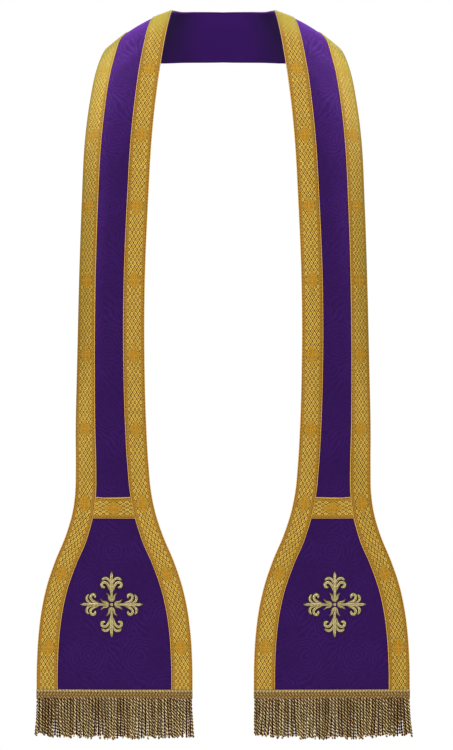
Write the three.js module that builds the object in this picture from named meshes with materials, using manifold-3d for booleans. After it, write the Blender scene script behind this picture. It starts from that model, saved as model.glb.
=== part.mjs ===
// Roman stole in its worn shape. Millimetres, +Z up, the front faces -Y.
// The origin is the middle of the neck, level with the inner edge where it tops the shoulders.
// One half is worked out on the +X side, where "out" is x, "back" is y and "up" is z,
// and the other half is its mirror image in x.
import * as THREE from 'three';
import { mergeVertices } from 'three/addons/utils/BufferGeometryUtils.js';
import Module from 'manifold-3d';

const wasm = await Module();
wasm.setup();

// Wall thicknesses and the gap that parts two pieces.
const FACE_CLOTH = 1.5;
const LINING = 1;
const GALLOON = 1;
const HEADING = 2.9;
const EMBROIDERY = 1.6;
const GAP = 0.3;

// Places along the band, measured down the cut from the centre back seam.
const CROSS_BAND = { top: 958, foot: 990, sag: 1.5 };
const HEADING_TOP = 1247;
const HEM = 1260;
const HEADING_FOOT = 1263;
const EMBROIDERED_CROSS = { along: 1119, out: 4 };

const GALLOON_WIDTH = 31.75;
const LINING_INSET = 1.5;
const LINING_HEM = 3;

// The middle line of the worn band. Turn is how far the cross direction swings from out to back,
// slope is how far it dips, and curl is the angle that the cloth bends through from edge to edge.
const STATIONS = [
  { along: 0, out: 0, back: 112, up: -27, turn: 90, slope: 60, curl: 0 },
  { along: 52, out: 51, back: 102, up: -28, turn: 67, slope: 57, curl: 3 },
  { along: 100, out: 88, back: 73, up: -31, turn: 46, slope: 50, curl: 12 },
  { along: 143, out: 110, back: 36, up: -28, turn: 33, slope: 39, curl: 30 },
  { along: 184, out: 121.5, back: -3, up: -26, turn: 26, slope: 28, curl: 41 },
  { along: 234, out: 133.5, back: -46, up: -46.5, turn: 25, slope: 14, curl: 43 },
  { along: 289, out: 144.5, back: -77, up: -90, turn: 23, slope: 5, curl: 42 },
  { along: 350, out: 152.5, back: -105, up: -144.5, turn: 21, slope: 2, curl: 44 },
  { along: 415, out: 158.5, back: -127, up: -205, turn: 19, slope: 0, curl: 47 },
  { along: 513, out: 163, back: -148, up: -301, turn: 19, slope: 0, curl: 50 },
  { along: 634, out: 167, back: -161, up: -421, turn: 19, slope: 0, curl: 50 },
  { along: 754, out: 168.5, back: -166, up: -541, turn: 16, slope: 0, curl: 43 },
  { along: 864, out: 168, back: -168, up: -651, turn: 10, slope: 0, curl: 28 },
  { along: 924, out: 166, back: -169, up: -711, turn: 6, slope: 0, curl: 17 },
  { along: 976, out: 164, back: -170, up: -763, turn: 4, slope: 0, curl: 10 },
  { along: 1114, out: 163, back: -170, up: -901, turn: 3, slope: 0, curl: 8 },
  { along: 1264, out: 163, back: -170, up: -1051, turn: 2, slope: 0, curl: 6 },
];

// The cut: the whole width of the cloth at places along it.
const CUT = [
  { along: 0, wide: 86 },
  { along: 55, wide: 90 },
  { along: 110, wide: 99.5 },
  { along: 168, wide: 106 },
  { along: 237, wide: 109.5 },
  { along: 335, wide: 111 },
  { along: 430, wide: 110.5 },
  { along: 854, wide: 109.5 },
  { along: 914, wide: 111 },
  { along: 949, wide: 114.5 },
  { along: 979, wide: 124 },
  { along: 1014, wide: 145 },
  { along: 1054, wide: 178.5 },
  { along: 1089, wide: 202.5 },
  { along: 1124, wide: 218.5 },
  { along: 1164, wide: 229 },
  { along: 1209, wide: 234 },
  { along: 1264, wide: 234.5 },
];

// How closely the cloth is cut into rows: bends and the flare of the spade take short steps.
const STRETCHES = [
  { from: 0, to: 430, rows: 30 },
  { from: 430, to: 914, rows: 9 },
  { from: 914, to: CROSS_BAND.top, rows: 3 },
  { from: CROSS_BAND.top, to: CROSS_BAND.foot, rows: 2 },
  { from: CROSS_BAND.foot, to: 1164, rows: 12 },
  { from: 1164, to: HEADING_TOP, rows: 4 },
  { from: HEADING_TOP, to: HEM, rows: 1 },
];
const PANEL_COLUMNS = 3;

// One arm of the embroidered cross, pointing up: each stroke is a path of side, rise and half
// width. Strokes with a twin are worked on both sides of the arm.
const ARM_STROKES = [
  { name: 'trunk and lance', twin: false, path: [
    { side: 0, rise: 1, half: 1 }, { side: 0, rise: 13, half: 1.2 }, { side: 0, rise: 21, half: 2.3 },
    { side: 0, rise: 30, half: 4.4 }, { side: 0, rise: 36, half: 2.3 }, { side: 0, rise: 41.5, half: 2.7 },
    { side: 0, rise: 49.5, half: 0.4 }] },
  { name: 'volute', twin: true, path: [
    { side: 1.5, rise: 21, half: 0.9 }, { side: 4.4, rise: 28, half: 1.9 }, { side: 9, rise: 32.6, half: 2.1 },
    { side: 14, rise: 32.6, half: 2.1 }, { side: 16, rise: 28.4, half: 2 }, { side: 13.2, rise: 24.8, half: 1.8 },
    { side: 9.6, rise: 26.2, half: 1.3 }] },
  { name: 'lobe', twin: true, path: [
    { side: 1, rise: 28, half: 1 }, { side: 3.4, rise: 35, half: 1.9 }, { side: 7.6, rise: 39.2, half: 2 },
    { side: 12.6, rise: 36.6, half: 0.9 }] },
  { name: 'calyx leaf', twin: true, path: [
    { side: 0.8, rise: 5.4, half: 1.2 }, { side: 3, rise: 9, half: 1.5 }, { side: 4, rise: 13.6, half: 1.2 },
    { side: 8, rise: 17.2, half: 0.4 }] },
];
const ARMS = [
  { name: 'up', quarter: 0, reach: 1 },
  { name: 'out', quarter: 1, reach: 0.95 },
  { name: 'down', quarter: 2, reach: 1 },
  { name: 'in', quarter: 3, reach: 0.95 },
];
const BEAD_RADIUS = 2.7;

// Bullion cords hang from the heading side by side, every other one a little further back.
const CORD = {
  count: 56, radius: 1.5, sides: 3, drop: 58, unevenness: 4, sway: 0.35, root: 1.2, lift: 1.95, drift: 1.1,
};

const MATERIALS = {
  damask: { color: 0x3f1d78, roughness: 0.7, metalness: 0 },
  satin: { color: 0x2c1650, roughness: 0.5, metalness: 0 },
  galloon: { color: 0xc79a35, roughness: 0.45, metalness: 0.35 },
  thread: { color: 0xb9a263, roughness: 0.45, metalness: 0.35 },
  bullion: { color: 0x8f7440, roughness: 0.5, metalness: 0.35 },
};

const radians = THREE.MathUtils.degToRad;
const NUDGE = 0.5;

// Hermite curve through a table's column: each slope is the mean of its two neighbours' slopes,
// each weighted by the other's span.
function smooth(table, column, at) {
  const slopeAt = (k) => {
    const chord = (i) => (table[i + 1][column] - table[i][column]) / (table[i + 1].along - table[i].along);
    if (k === 0) return chord(0);
    if (k === table.length - 1) return chord(k - 1);
    const before = table[k].along - table[k - 1].along;
    const after = table[k + 1].along - table[k].along;
    return (chord(k - 1) * after + chord(k) * before) / (before + after);
  };
  let k = 0;
  while (k < table.length - 2 && at >= table[k + 1].along) k += 1;
  const span = table[k + 1].along - table[k].along;
  const t = (at - table[k].along) / span;
  const rise = t * t * (3 - 2 * t);
  return table[k][column] * (1 - rise) + table[k + 1][column] * rise
    + span * (slopeAt(k) * t * (1 - t) ** 2 - slopeAt(k + 1) * t * t * (1 - t));
}

// The stations run on past the centre back as their own mirror image, so the band bends evenly there.
const mirrored = STATIONS.slice(1, 3).reverse().map(
  (row) => ({ ...row, along: -row.along, out: -row.out, turn: 180 - row.turn }));
const PATH = [...mirrored, ...STATIONS];

const widthAt = (along) => smooth(CUT, 'wide', Math.abs(along));
const middleAt = (along) => new THREE.Vector3(
  smooth(PATH, 'out', along), smooth(PATH, 'back', along), smooth(PATH, 'up', along));

// A point of the cloth's face: an arc across the band that bends through the curl, with its chord
// centred on the middle line. Share runs from -1 at the inner edge to 1 at the outer edge.
function facePoint(along, share) {
  const down = middleAt(along + NUDGE).sub(middleAt(along - NUDGE)).normalize();
  const turn = radians(smooth(PATH, 'turn', along));
  const slope = radians(smooth(PATH, 'slope', along));
  const curl = Math.max(radians(smooth(PATH, 'curl', along)), 0.0001);
  const across = new THREE.Vector3(
    Math.cos(slope) * Math.cos(turn), Math.cos(slope) * Math.sin(turn), -Math.sin(slope));
  const away = down.clone().cross(across).normalize();
  const radius = widthAt(along) / curl;
  const angle = (curl / 2) * share;
  return middleAt(along)
    .addScaledVector(across, radius * Math.sin(angle))
    .addScaledVector(away, radius * (Math.cos(angle) - Math.cos(curl / 2)));
}

// The same point moved out from the face by a lift, square to the cloth.
function liftedPoint(along, share, lift) {
  const nudge = NUDGE / widthAt(along);
  const down = facePoint(along + NUDGE, share).sub(facePoint(along - NUDGE, share));
  const over = facePoint(along, share + nudge).sub(facePoint(along, share - nudge));
  return facePoint(along, share).addScaledVector(down.cross(over).normalize(), lift);
}

// Share of the half width that lies a distance in from an edge.
const shareFrom = (along, distance) => 1 - (2 * distance) / widthAt(along);

// The galloon keeps its width square to the edge, so it takes more of a row where the edge flares.
function galloonShare(along) {
  const flare = (widthAt(along + NUDGE) - widthAt(along - NUDGE)) / (4 * NUDGE);
  return shareFrom(along, GALLOON_WIDTH * Math.hypot(1, flare));
}

function rowsBetween(start, end) {
  const rows = [start];
  for (const { from, to, rows: count } of STRETCHES) {
    for (let k = 0; k < count; k += 1) {
      const along = from + ((to - from) * k) / count;
      if (along > start + 2 * GAP && along < end - 2 * GAP) rows.push(along);
    }
  }
  rows.push(end);
  return rows;
}

const steps = (from, to, count) => Array.from({ length: count + 1 }, (_, k) => from + ((to - from) * k) / count);

// Shares of a whole row of cloth: galloon, panel and galloon each have their own columns.
function clothShares(along, inset) {
  const edge = shareFrom(along, inset);
  const border = galloonShare(along);
  return [
    ...steps(-edge, -border, 2),
    ...steps(-border, border, PANEL_COLUMNS).slice(1, -1),
    ...steps(border, edge, 2),
  ];
}

// Joins a run of matching rings into one closed body. A ring holds a front line and then the back
// line the other way, so each end is closed by a strip between its two lines, and the back's
// squares are split along the same diagonal as the front's, which keeps stacked walls parallel.
function loft(rings, flip) {
  const size = rings[0].length;
  const positions = rings.flat().flatMap((point) => point.toArray());
  const triangles = [];
  const face = (a, b, c) => triangles.push(...(flip ? [a, c, b] : [a, b, c]));
  for (let ring = 0; ring < rings.length - 1; ring += 1) {
    for (let k = 0; k < size; k += 1) {
      const here = ring * size + k;
      const beside = ring * size + ((k + 1) % size);
      const isFront = k < size / 2;
      face(here, here + size, isFront ? beside + size : beside);
      face(isFront ? here : here + size, beside + size, beside);
    }
  }
  const last = (rings.length - 1) * size;
  for (let low = 0, high = size - 1; high - low > 1; ) {
    face(low, low + 1, high);
    face(last + low, last + high, last + low + 1);
    low += 1;
    if (high - low > 1) {
      face(low, high - 1, high);
      face(last + low, last + high, last + high - 1);
      high -= 1;
    }
  }
  const geometry = new THREE.BufferGeometry();
  geometry.setAttribute('position', new THREE.Float32BufferAttribute(positions, 3));
  geometry.setIndex(triangles);
  return geometry;
}

// A wall of cloth between two lifts, on one side of the neck.
function wall(rows, sharesAt, { outer, inner }, side, alongAt = (along) => along) {
  const rings = rows.map((row) => {
    const shares = sharesAt(row);
    const line = (lift) => shares.map((share) => liftedPoint(alongAt(row, share), share, lift));
    const ring = [...line(outer), ...line(inner).reverse()];
    ring.forEach((point) => { point.x *= side; });
    return ring;
  });
  return loft(rings, side < 0);
}

const ON_FACE = { outer: GAP + GALLOON, inner: GAP };

function faceCloth(side) {
  return wall(rowsBetween(GAP / 2, HEM), (row) => clothShares(row, 0), { outer: 0, inner: -FACE_CLOTH }, side);
}

function lining(side) {
  const outer = -FACE_CLOTH - GAP;
  const rows = rowsBetween(GAP / 2, HEM - LINING_HEM);
  return wall(rows, (row) => clothShares(row, LINING_INSET), { outer, inner: outer - LINING }, side);
}

function edgeGalloon(side, start, end, edge) {
  const shares = (row) => steps(Math.min(edge, edge * galloonShare(row)), Math.max(edge, edge * galloonShare(row)), 2);
  return wall(rowsBetween(start, end), shares, ON_FACE, side);
}

// The cross band lies between the upright galloons and its top edge sags at the middle.
function crossBand(side) {
  const gap = (row) => (2 * GAP) / widthAt(row);
  const shares = (row) => steps(gap(row) - galloonShare(row), galloonShare(row) - gap(row), PANEL_COLUMNS);
  const sagging = (row, share) => row
    + CROSS_BAND.sag * (1 - share * share) * ((CROSS_BAND.foot - row) / (CROSS_BAND.foot - CROSS_BAND.top));
  return wall(rowsBetween(CROSS_BAND.top, CROSS_BAND.foot), shares, ON_FACE, side, sagging);
}

function toSolid(geometry) {
  geometry.deleteAttribute('normal');
  geometry.deleteAttribute('uv');
  const merged = mergeVertices(geometry);
  return new wasm.Manifold(new wasm.Mesh({
    numProp: 3,
    vertProperties: Float32Array.from(merged.attributes.position.array),
    triVerts: Uint32Array.from(merged.index.array),
  }));
}

function toGeometry(solid) {
  const mesh = solid.getMesh();
  const geometry = new THREE.BufferGeometry();
  geometry.setAttribute('position', new THREE.Float32BufferAttribute(mesh.vertProperties, 3));
  geometry.setIndex([...mesh.triVerts]);
  return geometry;
}

const joined = (geometries) => geometries.map(toSolid).reduce((all, one) => all.add(one)).asOriginal();

// A flat padded stroke: a smooth path widened by its half widths on both sides.
function strokeGeometry(path) {
  const spine = new THREE.CatmullRomCurve3(path.map(({ side, rise }) => new THREE.Vector3(side, rise, 0)));
  const widths = new THREE.CatmullRomCurve3(path.map(({ half }, k) => new THREE.Vector3(k, half, 0)));
  const left = [];
  const right = [];
  const sections = path.length;
  for (let k = 0; k <= sections; k += 1) {
    const point = spine.getPoint(k / sections);
    const ahead = spine.getTangent(k / sections);
    const half = widths.getPoint(k / sections).y;
    left.push(new THREE.Vector2(point.x - ahead.y * half, point.y + ahead.x * half));
    right.push(new THREE.Vector2(point.x + ahead.y * half, point.y - ahead.x * half));
  }
  const outline = new THREE.Shape([...left, ...right.reverse()]);
  return new THREE.ExtrudeGeometry(outline, { depth: EMBROIDERY, bevelEnabled: false });
}

function embroideredCross(side) {
  const pieces = [new THREE.CylinderGeometry(BEAD_RADIUS, BEAD_RADIUS, EMBROIDERY, 10)
    .rotateX(Math.PI / 2).translate(0, 0, EMBROIDERY / 2)];
  for (const { quarter, reach } of ARMS) {
    for (const { twin, path } of ARM_STROKES) {
      for (const hand of twin ? [1, -1] : [1]) {
        const handed = path.map((row) => ({ ...row, side: row.side * hand }));
        pieces.push(strokeGeometry(handed).scale(1, reach, 1).rotateZ((-quarter * Math.PI) / 2));
      }
    }
  }
  const geometry = toGeometry(joined(pieces));
  const position = geometry.attributes.position;
  for (let k = 0; k < position.count; k += 1) {
    const along = EMBROIDERED_CROSS.along - position.getY(k);
    const share = ((position.getX(k) * side + EMBROIDERED_CROSS.out) * 2) / widthAt(along);
    const placed = liftedPoint(along, share, GAP + position.getZ(k));
    position.setXYZ(k, placed.x * side, placed.y, placed.z);
  }
  return geometry;
}

// A repeatable unevenness between -1 and 1 for each cord.
const uneven = (k, seed) => Math.sin(12.9898 * k + 78.233 * seed) * Math.cos(4.137 * k * seed + 2.1);

function cordGeometry(root, tip, side) {
  const rings = [root, tip].map((middle) => steps(0, CORD.sides - 1, CORD.sides - 1).map((corner) => {
    const angle = (-2 * Math.PI * corner) / CORD.sides;
    const reach = new THREE.Vector3(Math.sin(angle), Math.cos(angle), 0).multiplyScalar(CORD.radius);
    return reach.add(middle);
  }));
  rings.flat().forEach((point) => { point.x *= side; });
  return loft(rings, side < 0);
}

// The heading lies over the hem and the galloons' ends, and the cords grow out of its foot.
function fringe(side) {
  const shares = () => steps(-1, 1, PANEL_COLUMNS + 4);
  const pieces = [wall([HEADING_TOP, HEM, HEADING_FOOT], shares, { outer: GAP + HEADING, inner: GAP }, side)];
  for (let k = 0; k < CORD.count; k += 1) {
    const share = (2 * (k + 0.5)) / CORD.count - 1;
    const root = liftedPoint(HEADING_FOOT - CORD.root, share, CORD.lift);
    const drop = CORD.drop + CORD.unevenness * (uneven(k, 1) - share * share);
    const drift = CORD.drift * (k % 2 ? 1 : -1);
    const tip = root.clone().add(new THREE.Vector3(CORD.sway * uneven(k, 3), drift, -drop));
    pieces.push(cordGeometry(root, tip, side));
  }
  return toGeometry(joined(pieces));
}

function addMesh(group, name, geometry, material) {
  const mesh = new THREE.Mesh(geometry, new THREE.MeshStandardMaterial(material));
  mesh.name = name;
  group.add(mesh);
}

const stole = new THREE.Group();
for (const [hand, side] of [['left', -1], ['right', 1]]) {
  addMesh(stole, `face_cloth_${hand}`, faceCloth(side), MATERIALS.damask);
  addMesh(stole, `lining_${hand}`, lining(side), MATERIALS.satin);
  addMesh(stole, `inner_galloon_${hand}`, edgeGalloon(side, GAP / 2, HEADING_TOP - GAP, -1), MATERIALS.galloon);
  addMesh(stole, `outer_galloon_${hand}`,
    edgeGalloon(side, GAP / 2, CROSS_BAND.foot - GAP / 2, 1), MATERIALS.galloon);
  addMesh(stole, `spade_galloon_${hand}`,
    edgeGalloon(side, CROSS_BAND.foot + GAP / 2, HEADING_TOP - GAP, 1), MATERIALS.galloon);
  addMesh(stole, `cross_band_${hand}`, crossBand(side), MATERIALS.galloon);
  addMesh(stole, `embroidered_cross_${hand}`, embroideredCross(side), MATERIALS.thread);
  addMesh(stole, `fringe_${hand}`, fringe(side), MATERIALS.bullion);
}

export default stole;
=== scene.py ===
import math
import bpy
import numpy as np
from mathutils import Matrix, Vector


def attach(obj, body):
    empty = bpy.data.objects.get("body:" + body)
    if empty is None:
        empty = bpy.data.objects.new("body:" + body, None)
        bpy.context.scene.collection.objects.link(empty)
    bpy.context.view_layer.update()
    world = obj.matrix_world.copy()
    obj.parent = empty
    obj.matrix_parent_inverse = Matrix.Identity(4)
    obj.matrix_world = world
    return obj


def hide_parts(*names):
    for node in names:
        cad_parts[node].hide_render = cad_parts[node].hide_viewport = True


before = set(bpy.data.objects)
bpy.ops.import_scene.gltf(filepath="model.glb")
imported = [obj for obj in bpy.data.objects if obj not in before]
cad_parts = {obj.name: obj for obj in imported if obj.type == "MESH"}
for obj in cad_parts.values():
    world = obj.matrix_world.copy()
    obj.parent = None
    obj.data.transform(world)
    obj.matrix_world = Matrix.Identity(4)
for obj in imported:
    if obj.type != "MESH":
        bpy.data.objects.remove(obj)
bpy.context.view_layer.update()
mm = 0.001
tau = 2 * math.pi
sides = {"left": -1, "right": 1}

# Camera, light and floor.
studio = {
    "cameraPlace": (0.005, -5.171, -0.562),
    "lens": 160,
    "farthest": 40,
    "backgroundStrength": 1.0,
    "ambientStrength": 0.4,
    "floorHeight": -1.45,
    "floorRadius": 1.5,
    "floorCorners": 96,
    "floorColour": "#f2f1ee",
}
# name: where it stands, what it looks at, its width and height, its watts
lamps = {
    "topLeftSoftbox": ((-1.4, 0, 1.4), (-0.1, -0.05, -0.15), 1.4, 1.4, 23),
    "topRightSoftbox": ((1.4, 0, 1.4), (0.1, -0.05, -0.15), 1.4, 1.4, 23),
    "topSoftbox": ((0, -0.8, 1.9), (0, -0.1, -0.1), 1.2, 1.2, 15),
    "frontSoftbox": ((-0.3, -4.4, 0.1), (0, -0.1, -0.55), 2.6, 2.6, 66),
    "leftSoftbox": ((-2.6, -2.4, 0.1), (0, -0.1, -0.55), 1.6, 2.0, 37),
    "rightSoftbox": ((2.6, -2.4, 0.1), (0, -0.1, -0.55), 1.6, 2.0, 33),
    "backSoftbox": ((0.3, 3.0, 0.6), (0, 0, -0.5), 2.0, 1.8, 15),
}


def linear(hexColour):
    # sRGB hex to linear light: x / 12.92 near black, ((x + 0.055) / 1.055) ** 2.4 above it
    channels = np.array([int(hexColour[k:k + 2], 16) for k in (1, 3, 5)]) / 255
    bright = ((channels + 0.055) / 1.055) ** 2.4
    return (*(float(c) for c in np.where(channels <= 0.04045, channels / 12.92, bright)), 1.0)


def outputOf(source):
    # a node stands for the first of its outputs that its settings leave in use
    if isinstance(source, bpy.types.Node):
        return next(socket for socket in source.outputs if socket.enabled)
    return source


# the menu that a choice is made in, for the kinds of node that have one
menus = {
    "Math": "operation", "VectorMath": "operation", "Mix": "data_type", "MapRange": "interpolation_type",
    "TexWave": "bands_direction",
}


def addNode(kind, inputs=(), choice=None, stops=(), **settings):
    # adds a shader node to the tree in hand, with its settings and a ramp's stops; an input given as a
    # node or an output is linked, any other is set
    node = tree.nodes.new("ShaderNode" + kind)
    if choice:
        settings[menus[kind]] = choice
    for name, value in settings.items():
        setattr(node, name, value)
    for k, (place, hexColour) in enumerate(stops):
        stop = node.color_ramp.elements[k] if k < 2 else node.color_ramp.elements.new(place)
        stop.position, stop.color = place, linear(hexColour)
    for key, value in dict(inputs).items():
        source = outputOf(value)
        if isinstance(source, bpy.types.NodeSocket):
            tree.links.new(source, node.inputs[key])
        else:
            node.inputs[key].default_value = value
    return node


def addObject(name, data):
    piece = bpy.data.objects.new(name, data)
    bpy.context.scene.collection.objects.link(piece)
    return piece


cameraData = bpy.data.cameras.new("camera")
cameraData.lens = studio["lens"]
cameraData.clip_end = studio["farthest"]
camera = addObject("camera", cameraData)
camera.location = studio["cameraPlace"]
camera.rotation_euler = (math.pi / 2, 0, 0)
bpy.context.scene.camera = camera
bpy.context.scene.view_settings.view_transform = "Standard"

for lampName, (place, aim, wide, tall, watts) in lamps.items():
    lampData = bpy.data.lights.new(lampName, "AREA")
    lampData.shape, lampData.size, lampData.size_y = "RECTANGLE", wide, tall
    lampData.energy = watts
    lamp = addObject(lampName, lampData)
    lamp.location = place
    lamp.rotation_euler = (Vector(aim) - Vector(place)).to_track_quat("-Z", "Y").to_euler()

# white to the eye, a softer grey to the cloth, so that folds keep their shade
world = bpy.data.worlds.new("studio")
bpy.context.scene.world = world
world.use_nodes = True
tree = world.node_tree
tree.nodes.clear()
seen = addNode("LightPath").outputs["Is Camera Ray"]
white = addNode("Background", {"Color": (1, 1, 1, 1), "Strength": studio["backgroundStrength"]})
soft = addNode("Background", {"Color": (1, 0.98, 0.96, 1), "Strength": studio["ambientStrength"]})
skyMix = addNode("MixShader", {0: seen, 1: soft, 2: white})
addNode("OutputWorld", {"Surface": skyMix})


def newMaterial(name, **shaderInputs):
    # a principled material; an underscore in a socket's name stands for a space
    material = bpy.data.materials.new(name)
    material.use_nodes = True
    tree = material.node_tree
    shader = tree.nodes["Principled BSDF"]
    for socketName, value in shaderInputs.items():
        shader.inputs[socketName.replace("_", " ")].default_value = value
    return material, tree, shader


def feedShader(shader, **sources):
    # links each source to the shader socket it is named for, with the same underscores
    for socketName, source in sources.items():
        tree.links.new(outputOf(source), shader.inputs[socketName.replace("_", " ")])


def meshPiece(name, points, faces, material, uv=None, marks=None, sharp=50):
    # a mesh object at the origin: points in mm, faces as lists, uv and marks one row per point
    mesh = bpy.data.meshes.new(name)
    mesh.from_pydata((np.asarray(points) * mm).tolist(), [], faces)
    if uv is not None:
        corners = np.empty(len(mesh.loops), dtype=np.int32)
        mesh.loops.foreach_get("vertex_index", corners)
        mesh.uv_layers.new(name="cut").data.foreach_set("uv", uv[corners].astype(np.float32).ravel())
    for markName, values in (marks or {}).items():
        mark = mesh.attributes.new(markName, "FLOAT", "POINT")
        mark.data.foreach_set("value", np.asarray(values, dtype=np.float32).ravel())
    mesh.shade_smooth()
    mesh.set_sharp_from_angle(angle=math.radians(sharp))
    mesh.materials.append(material)
    mesh.update()
    return addObject(name, mesh)


# matt white paint: no gloss, so that it only takes the light up
floorMaterial, _, _ = newMaterial(
    "painted studio floor", Base_Color=linear(studio["floorColour"]), Roughness=0.8)
floorTurn = np.linspace(0, tau, studio["floorCorners"], endpoint=False)
floorPoints = np.stack([
    np.cos(floorTurn) * studio["floorRadius"], np.sin(floorTurn) * studio["floorRadius"],
    np.full(studio["floorCorners"], studio["floorHeight"])], -1) / mm
floor = meshPiece("floor", floorPoints, [list(range(studio["floorCorners"]))], floorMaterial)
print("studio ready")

# The band as it is worn, in millimetres.
# One half is worked out on the +X side. Each row of the path gives the middle of the band at a
# place along the cut, how far the cross direction swings and dips, and how far the cloth curls.
band = {
    # along, out, back, up, turn, slope, curl
    "path": np.array([
        (0, 0, 112, -27, 90, 60, 0), (52, 51, 102, -28, 67, 57, 3),
        (100, 88, 73, -31, 46, 50, 12), (143, 110, 36, -28, 33, 39, 30),
        (184, 121.5, -3, -26, 26, 28, 41), (234, 133.5, -46, -46.5, 25, 14, 43),
        (289, 144.5, -77, -90, 23, 5, 42), (350, 152.5, -105, -144.5, 21, 2, 44),
        (415, 158.5, -127, -205, 19, 0, 47), (513, 163, -148, -301, 19, 0, 50),
        (634, 167, -161, -421, 19, 0, 50), (754, 168.5, -166, -541, 16, 0, 43),
        (864, 168, -168, -651, 10, 0, 28), (924, 166, -169, -711, 6, 0, 17),
        (976, 164, -170, -763, 4, 0, 10), (1114, 163, -170, -901, 3, 0, 8),
        (1264, 163, -170, -1051, 2, 0, 6)], dtype=float),
    # along, whole width
    "cut": np.array([
        (0, 86), (55, 90), (110, 99.5), (168, 106), (237, 109.5), (335, 111), (430, 110.5),
        (854, 109.5), (914, 111), (949, 114.5), (979, 124), (1014, 145), (1054, 178.5),
        (1089, 202.5), (1124, 218.5), (1164, 229), (1209, 234), (1264, 234.5)], dtype=float),
    "crossBandTop": 958, "crossBandFoot": 990, "crossBandSag": 1.5,
    "headingTop": 1247, "hem": 1260, "hemWidth": 234.5, "galloonWidth": 31.75, "gap": 0.3, "seam": 0,
}
# two mirrored rows of the other half carry the path smoothly over the centre back seam
mirrored = band["path"][2:0:-1] * np.array([-1, -1, 1, 1, -1, 1, 1]) + np.array([0, 0, 0, 0, 180, 0, 0])
path = np.vstack([mirrored, band["path"]])
nudge = 0.5  # how far to either side a slope is taken


def hermite(knots, values, at):
    # cubic through the knots; each slope is its two neighbours' slopes, each weighted by the other's span
    span = np.diff(knots)
    chord = np.diff(values) / span
    inner = (span[1:] * chord[:-1] + span[:-1] * chord[1:]) / (span[1:] + span[:-1])
    slope = np.concatenate([chord[:1], inner, chord[-1:]])
    k = np.clip(np.searchsorted(knots, at, side="right") - 1, 0, len(span) - 1)
    t = (at - knots[k]) / span[k]
    rise = t * t * (3 - 2 * t)
    bend = span[k] * (slope[k] * t * (1 - t) ** 2 - slope[k + 1] * t * t * (1 - t))
    return values[k] * (1 - rise) + values[k + 1] * rise + bend


def widthAt(along):
    return hermite(band["cut"][:, 0], band["cut"][:, 1], np.abs(along))


def middleAt(along):
    return np.stack([hermite(path[:, 0], path[:, column], along) for column in (1, 2, 3)], -1)


def unit(vectors):
    return vectors / np.linalg.norm(vectors, axis=-1, keepdims=True)


def stacked(*coordinates):
    # coordinates given one array each, as one array of points
    return np.stack(np.broadcast_arrays(*coordinates), -1)


def spread(count):
    # even shares from edge to edge, as one row
    return np.linspace(-1, 1, count)[None, :]


def facePoint(along, share):
    # an arc across the band: middle + across * r sin(curl / 2 * share) + away * r (cos(...) - cos(curl / 2)),
    # where r = width / curl and share runs from -1 at the inner edge to 1 at the outer edge
    down = unit(middleAt(along + nudge) - middleAt(along - nudge))
    turn, slope, curl = (np.radians(hermite(path[:, 0], path[:, column], along)) for column in (4, 5, 6))
    curl = np.maximum(curl, 0.0001)
    across = np.stack([np.cos(slope) * np.cos(turn), np.cos(slope) * np.sin(turn), -np.sin(slope)], -1)
    away = unit(np.cross(down, across))
    radius, angle = widthAt(along) / curl, curl / 2 * share
    return (middleAt(along) + across * (radius * np.sin(angle))[..., None]
            + away * (radius * (np.cos(angle) - np.cos(curl / 2)))[..., None])


# Soft creases: place along, share of the half width, half length, half width,
# lean from the band's own direction in degrees, height in mm. The two halves differ a little.
creases = {
    "left": [
        (236, 0.15, 30, 13, 64, 0.9), (262, -0.2, 34, 10, 58, -0.8), (318, 0.3, 46, 13, 30, 0.7),
        (402, -0.1, 70, 15, 8, -0.7), (520, 0.25, 90, 17, -6, 0.8), (640, -0.2, 80, 16, 5, -0.6),
        (742, 0.15, 80, 17, -4, 0.7), (860, 0, 60, 15, 4, -0.5), (1046, -0.3, 60, 22, 24, 0.9),
        (1066, 0.4, 54, 19, -22, -0.8), (1180, -0.25, 60, 26, 3, -0.9), (1196, 0.35, 66, 28, -4, 0.9),
        (96, 0.2, 30, 12, 70, 0.6), (150, -0.1, 28, 11, 66, -0.6)],
    "right": [
        (230, 0.05, 28, 12, 60, 0.8), (268, 0.2, 36, 11, 55, -0.8), (330, -0.2, 50, 13, 24, 0.7),
        (424, 0.2, 66, 15, -8, -0.6), (540, -0.15, 88, 17, 5, 0.7), (662, 0.2, 84, 16, -6, -0.7),
        (760, -0.1, 70, 16, 4, 0.6), (872, 0.1, 60, 15, -5, -0.5), (1040, 0.3, 58, 22, -26, 0.8),
        (1072, -0.35, 54, 20, 20, -0.9), (1186, 0.2, 62, 26, -3, -0.8), (1202, -0.4, 60, 28, 5, 0.9),
        (104, -0.2, 30, 12, 68, 0.6), (156, 0.15, 28, 11, 62, -0.5)],
}


def creaseAt(along, share, hand):
    # each crease adds height * exp(-(run / half length)^2 - (side / half width)^2)
    height = np.zeros(np.broadcast(along, share).shape)
    for place, centre, halfLength, halfWidth, lean, rise in creases[hand]:
        downward, sideways = along - place, (share - centre) * widthAt(along) / 2
        c, s = math.cos(math.radians(lean)), math.sin(math.radians(lean))
        run, over = downward * c + sideways * s, sideways * c - downward * s
        height += rise * np.exp(-(run / halfLength) ** 2 - (over / halfWidth) ** 2)
    return height


def liftedPoint(along, share, lift, hand):
    # the face moved out along its normal, d/dalong x d/dshare, by the lift and the creases
    along, share, lift = np.broadcast_arrays(*(np.asarray(given, float) for given in (along, share, lift)))
    reach = nudge / widthAt(along)
    downward = facePoint(along + nudge, share) - facePoint(along - nudge, share)
    over = facePoint(along, share + reach) - facePoint(along, share - reach)
    rise = (lift + creaseAt(along, share, hand))[..., None]
    point = facePoint(along, share) + unit(np.cross(downward, over)) * rise
    return point * np.array([sides[hand], 1, 1])


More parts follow.
